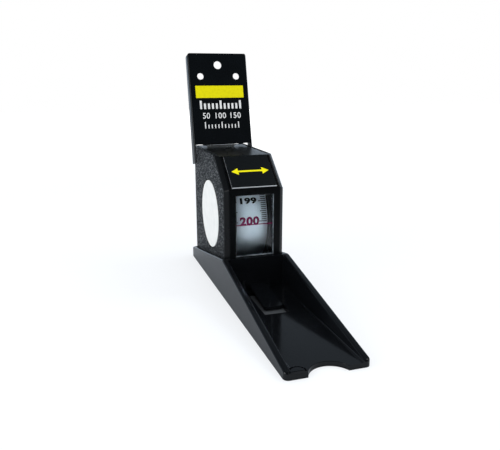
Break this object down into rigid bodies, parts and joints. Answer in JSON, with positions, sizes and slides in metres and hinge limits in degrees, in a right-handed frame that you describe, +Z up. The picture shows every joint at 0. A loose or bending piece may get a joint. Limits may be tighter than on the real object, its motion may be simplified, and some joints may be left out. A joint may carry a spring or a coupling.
{
  "type": "stadiometer",
  "caption": "Wall stadiometer: leaning steel wall bracket on a spring-wound height tape, boxed tape case with reading window, and a long wedge headboard tray.",
  "frame": {"origin": "on the headboard's flat underside (the measuring face), below the middle of the case's rear plane", "axes": "+Z up out of the measuring face, -Y towards the headboard's front tip, +X to the right as seen by someone facing the window"},
  "size_m": [0.0348, 0.1566, 0.115],
  "materials": {
    "satin_abs": "satin moulded black ABS",
    "textured_abs": "fine leather-grained black ABS",
    "gloss_abs": "smooth glossy black ABS",
    "label_vinyl": "dark vinyl plate",
    "clear_acrylic": "clear moulded acrylic",
    "white_plastic": "plain white plastic",
    "tape_vinyl": "bluish white coated glass-fibre tape",
    "drum_plastic": "grey acetal",
    "bright_steel": "zinc-plated steel",
    "spring_steel": "blued spring steel",
    "black_enamel": "black stove enamel on sheet steel"
  },
  "bodies": {
    "case": {"headboard": "satin_abs", "left_shell": "textured_abs", "right_shell": "textured_abs", "front_cover": "gloss_abs", "label_plate": "label_vinyl", "window_lens": "clear_acrylic", "left_disc": "white_plastic", "right_disc": "white_plastic", "case_screw_1": "bright_steel", "case_screw_2": "bright_steel", "case_screw_3": "bright_steel", "axle_pin": "bright_steel", "axle_washer_left": "bright_steel", "axle_washer_right": "bright_steel", "power_spring": "spring_steel", "tape_run": "tape_vinyl"},
    "drum": {"drum_spool": "drum_plastic", "drum_cap": "drum_plastic", "tape_core": "tape_vinyl", "tape_outer_layer": "tape_vinyl"},
    "tape_end": {"tape_lead": "tape_vinyl"},
    "bracket": {"wall_bracket": "black_enamel", "tape_clamp": "bright_steel", "clamp_stud_left": "bright_steel", "clamp_stud_right": "bright_steel", "tape_tail": "tape_vinyl"}
  },
  "joints": [
    {"name": "tape_pull", "type": "slide", "parent": "case", "child": "tape_end", "axis": [0, 0, 1], "range_m": [0, 2], "stiffness_N_per_m": 0.4, "springref_m": -2.5, "deforming": ["tape_lead"]},
    {"name": "drum_spin", "type": "hinge", "parent": "case", "child": "drum", "pos_m": [0, -0.0338, 0.0333], "axis": [1, 0, 0], "range_deg": [0, 4500]},
    {"name": "bracket_lean", "type": "hinge", "parent": "tape_end", "child": "bracket", "pos_m": [0, -0.0022, 0.08527], "axis": [1, 0, 0], "range_deg": [-6, 11.7], "stiffness_Nm_per_rad": 0.006, "springref_deg": 1.72}
  ],
  "couplings": [
    {"joint": "drum_spin", "follows": "tape_pull", "rad_per_m": 38.835}
  ]
}
